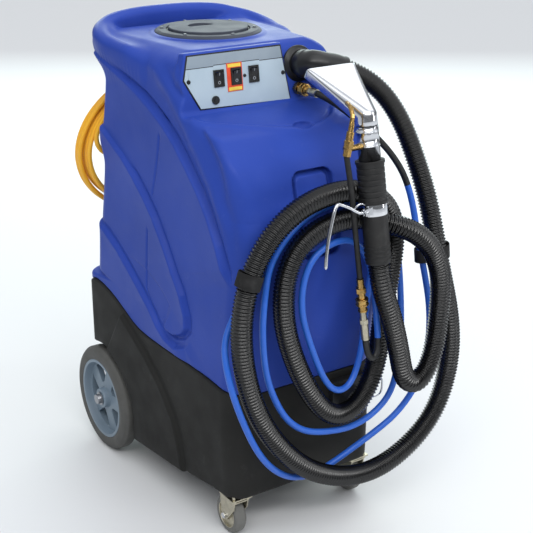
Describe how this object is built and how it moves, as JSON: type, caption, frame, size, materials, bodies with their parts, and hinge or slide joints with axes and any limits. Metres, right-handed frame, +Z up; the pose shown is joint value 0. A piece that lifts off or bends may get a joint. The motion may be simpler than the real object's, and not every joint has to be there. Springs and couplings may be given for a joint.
{
  "type": "spot extractor",
  "caption": "Wheeled carpet spot extractor with a moulded tank and base, lift-off lid, switch panel, looped vacuum hose, solution line, steel hand tool and coiled cord.",
  "frame": {"origin": "centre of the bounding box's bottom face, on the floor, cords and hoses left out", "axes": "+Z up, +X across to the machine's right as seen from its front, -Y towards the front with the switch panel"},
  "size_m": [0.5253, 0.7419, 0.929],
  "materials": {
    "charcoal_plastic": "moulded, fine grain",
    "blue_plastic": "rotationally moulded, satin",
    "axle_steel": "zinc bright",
    "tyre": "semi-pneumatic tread",
    "rim_plastic": "moulded",
    "chrome": "polished",
    "zinc_steel": "yellowed zinc plate",
    "caster_rubber": "grey rubber",
    "grey_plastic": "moulded",
    "black_rubber": "moulded",
    "black_metal": "black oxide",
    "panel_sheet": "printed sheet",
    "red_plastic": "printed film",
    "black_plastic": "moulded",
    "blue_hose": "flexible",
    "black_hose": "ribbed, flexible",
    "strap_fabric": "hook-and-loop webbing",
    "brass": "machined",
    "polished_steel": "polished stainless",
    "yellow_cord": "jacketed cord",
    "motor_metal": "painted",
    "pale_plastic": "pipe"
  },
  "bodies": {
    "machine": {"base_housing": "charcoal_plastic", "tank_body": "blue_plastic", "rear_axle": "axle_steel", "hub_cap_left": "chrome", "hub_cap_right": "chrome", "caster_plates": "zinc_steel", "caster_bolts": "zinc_steel", "lid_ring": "grey_plastic", "lid_gasket": "black_rubber", "screws": "black_metal", "control_panel": "panel_sheet", "switch_surround": "red_plastic", "rocker_frames": "black_plastic", "breaker_body": "black_plastic", "inlet_port": "black_plastic", "inlet_cuff": "black_rubber", "vacuum_hose": "black_hose", "solution_line": "blue_hose", "strap_left": "strap_fabric", "strap_right": "strap_fabric", "panel_coupler": "brass", "line_ferrule": "axle_steel", "tool_head": "polished_steel", "tool_tube": "polished_steel", "tool_cuff": "black_rubber", "tool_band": "chrome", "tool_grip": "black_rubber", "spray_valve": "brass", "whip_hose": "black_rubber", "whip_coupler": "brass", "whip_plug": "axle_steel", "dump_valve": "chrome", "power_cord": "yellow_cord", "power_plug": "yellow_cord", "cord_gland": "black_plastic", "cord_hooks": "black_plastic", "vac_motor": "motor_metal", "pump": "black_plastic", "standpipe": "pale_plastic"},
    "wheel_left": {"tyre_left": "tyre", "rim_left": "rim_plastic"},
    "wheel_right": {"tyre_right": "tyre", "rim_right": "rim_plastic"},
    "swivel_left": {"caster_fork_left": "zinc_steel", "caster_axle_left": "axle_steel"},
    "swivel_right": {"caster_fork_right": "zinc_steel", "caster_axle_right": "axle_steel"},
    "caster_wheel_left": {"caster_tyre_left": "caster_rubber", "caster_hub_left": "grey_plastic"},
    "caster_wheel_right": {"caster_tyre_right": "caster_rubber", "caster_hub_right": "grey_plastic"},
    "lid": {"tank_lid": "grey_plastic"},
    "rocker_1": {"rocker_left": "black_plastic"},
    "rocker_2": {"rocker_middle": "black_plastic"},
    "rocker_3": {"rocker_right": "black_plastic"},
    "reset_button": {"breaker_button": "black_plastic"},
    "trigger": {"tool_trigger": "polished_steel"},
    "panel_lock": {"panel_sleeve": "brass"},
    "whip_lock": {"whip_sleeve": "brass"},
    "gate": {"dump_gate": "axle_steel"}
  },
  "joints": [
    {"name": "wheel_left_spin", "type": "hinge", "parent": "machine", "child": "wheel_left", "pos_m": [-0.18, 0.25525, 0.114], "axis": [1, 0, 0], "continuous": true},
    {"name": "caster_left_swivel", "type": "hinge", "parent": "machine", "child": "swivel_left", "pos_m": [-0.138, -0.19075, 0.08], "axis": [0, 0, 1], "continuous": true},
    {"name": "caster_left_spin", "type": "hinge", "parent": "swivel_left", "child": "caster_wheel_left", "pos_m": [-0.138, -0.17475, 0.038], "axis": [1, 0, 0], "continuous": true},
    {"name": "wheel_right_spin", "type": "hinge", "parent": "machine", "child": "wheel_right", "pos_m": [0.18, 0.25525, 0.114], "axis": [1, 0, 0], "continuous": true},
    {"name": "caster_right_swivel", "type": "hinge", "parent": "machine", "child": "swivel_right", "pos_m": [0.138, -0.19075, 0.08], "axis": [0, 0, 1], "continuous": true},
    {"name": "caster_right_spin", "type": "hinge", "parent": "swivel_right", "child": "caster_wheel_right", "pos_m": [0.138, -0.17475, 0.038], "axis": [1, 0, 0], "continuous": true},
    {"name": "lid_lift", "type": "slide", "parent": "machine", "child": "lid", "axis": [0, 0, 1], "range_m": [0, 0.12]},
    {"name": "rocker_1_tilt", "type": "hinge", "parent": "machine", "child": "rocker_1", "pos_m": [-0.09, -0.07123, 0.85146], "axis": [1, 0, 0], "range_deg": [-18, 0]},
    {"name": "rocker_2_tilt", "type": "hinge", "parent": "machine", "child": "rocker_2", "pos_m": [-0.054, -0.07123, 0.85146], "axis": [1, 0, 0], "range_deg": [-18, 0]},
    {"name": "rocker_3_tilt", "type": "hinge", "parent": "machine", "child": "rocker_3", "pos_m": [-0.017, -0.07123, 0.85146], "axis": [1, 0, 0], "range_deg": [-18, 0]},
    {"name": "reset_button_slide", "type": "slide", "parent": "machine", "child": "reset_button", "axis": [0, -0.9925, 0.1219], "range_m": [0, 0.003]},
    {"name": "trigger_squeeze", "type": "hinge", "parent": "machine", "child": "trigger", "pos_m": [0.0302, -0.34583, 0.65764], "axis": [0.0027, 0.991, -0.1341], "range_deg": [-6, 0], "stiffness_Nm_per_rad": 0.4, "springref_deg": 8.59},
    {"name": "panel_lock_slide", "type": "slide", "parent": "machine", "child": "panel_lock", "axis": [0, 1, 0], "range_m": [0, 0.004], "stiffness_N_per_m": 150, "springref_m": -0.01},
    {"name": "whip_lock_slide", "type": "slide", "parent": "machine", "child": "whip_lock", "axis": [-0.1392, 0, 0.9903], "range_m": [0, 0.004], "stiffness_N_per_m": 150, "springref_m": -0.01},
    {"name": "gate_pull", "type": "slide", "parent": "machine", "child": "gate", "axis": [1, 0, 0], "range_m": [0, 0.05]}
  ]
}
